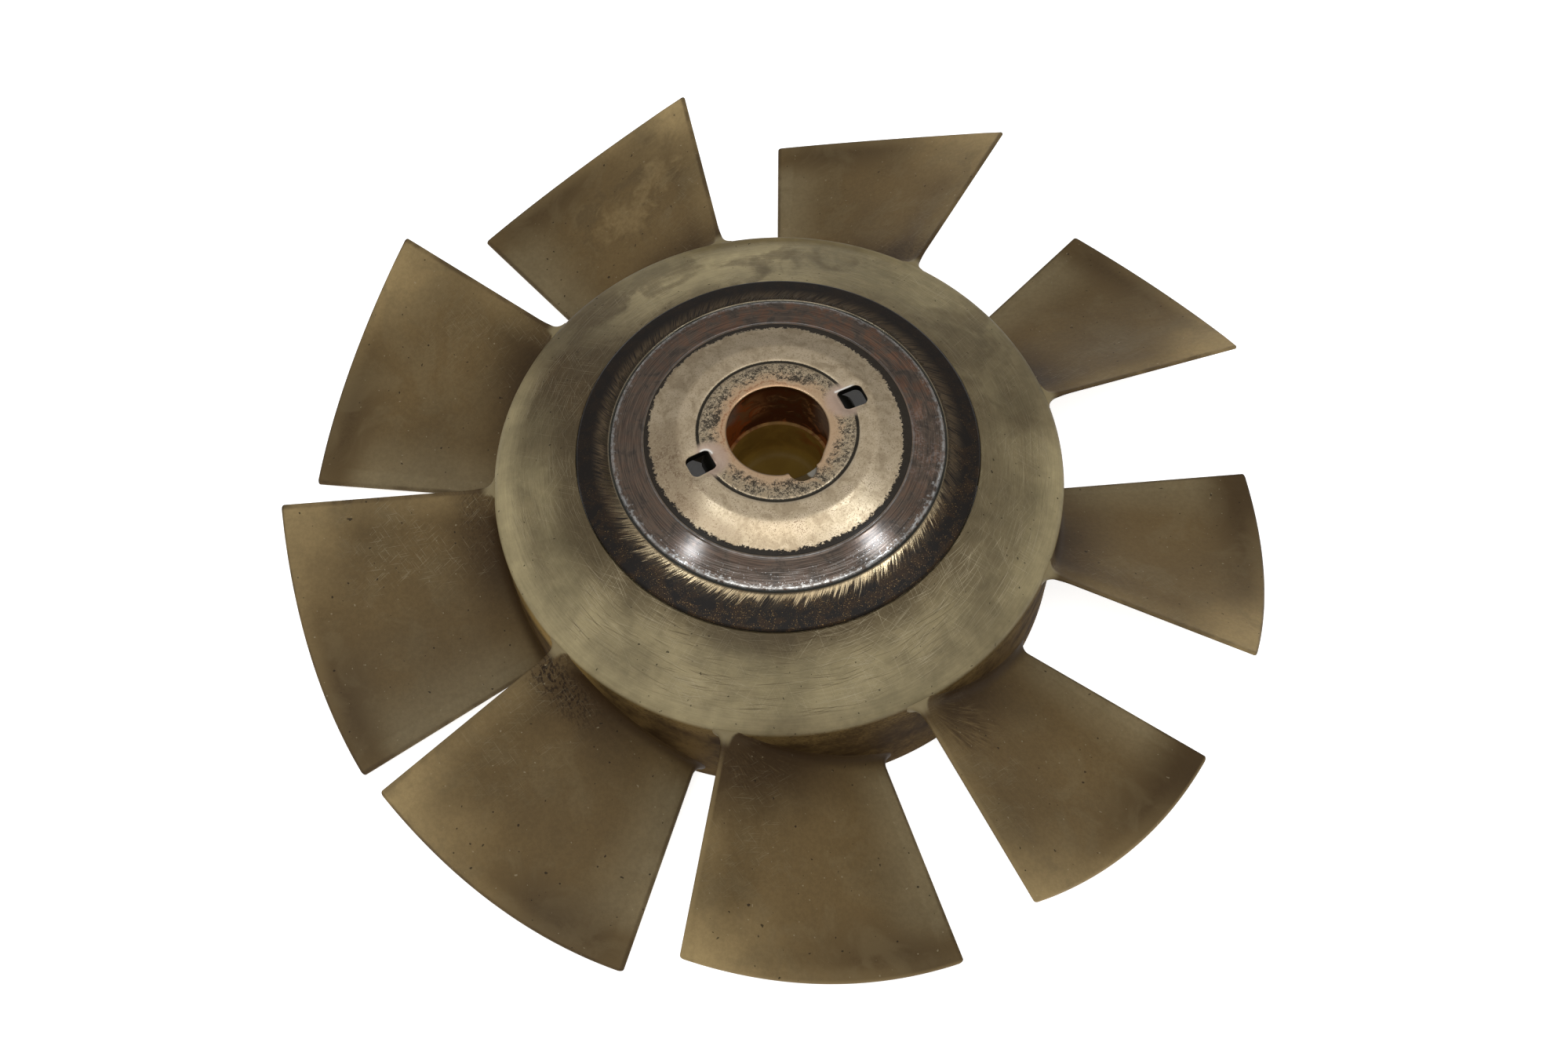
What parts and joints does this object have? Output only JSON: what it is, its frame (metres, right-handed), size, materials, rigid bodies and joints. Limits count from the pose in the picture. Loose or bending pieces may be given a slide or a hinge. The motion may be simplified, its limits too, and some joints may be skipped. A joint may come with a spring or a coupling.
{
  "type": "engine cooling fan",
  "caption": "Axial engine cooling fan: twisted moulded blades at uneven steps round a hollow drum hub, with a drawn steel plate and a central bearing bore.",
  "frame": {"origin": "on the fan's axis, at the lower edge of the hub's skirt, which is the face it rests on", "axes": "+Z along the fan's axis towards the steel plate; -Y is the side that the picture was taken from"},
  "size_m": [0.3998, 0.3999, 0.0825],
  "materials": {
    "aged_nylon": "aged, stained nylon with scratches",
    "bore_nylon": "olive nylon with rust stains",
    "coated_steel": "worn zinc and black paint, rusty in rings"
  },
  "bodies": {
    "root": {"hub_face": "aged_nylon", "hub_skirt": "aged_nylon", "plate_seat": "aged_nylon", "bearing_tube": "bore_nylon", "bore_floor": "bore_nylon", "hub_rib_1": "aged_nylon", "hub_rib_2": "aged_nylon", "hub_rib_3": "aged_nylon", "hub_rib_4": "aged_nylon", "hub_rib_5": "aged_nylon", "blade_1": "aged_nylon", "blade_2": "aged_nylon", "blade_3": "aged_nylon", "blade_4": "aged_nylon", "blade_5": "aged_nylon", "blade_6": "aged_nylon", "blade_7": "aged_nylon", "blade_8": "aged_nylon", "blade_9": "aged_nylon", "steel_plate": "coated_steel"}
  },
  "joints": []
}
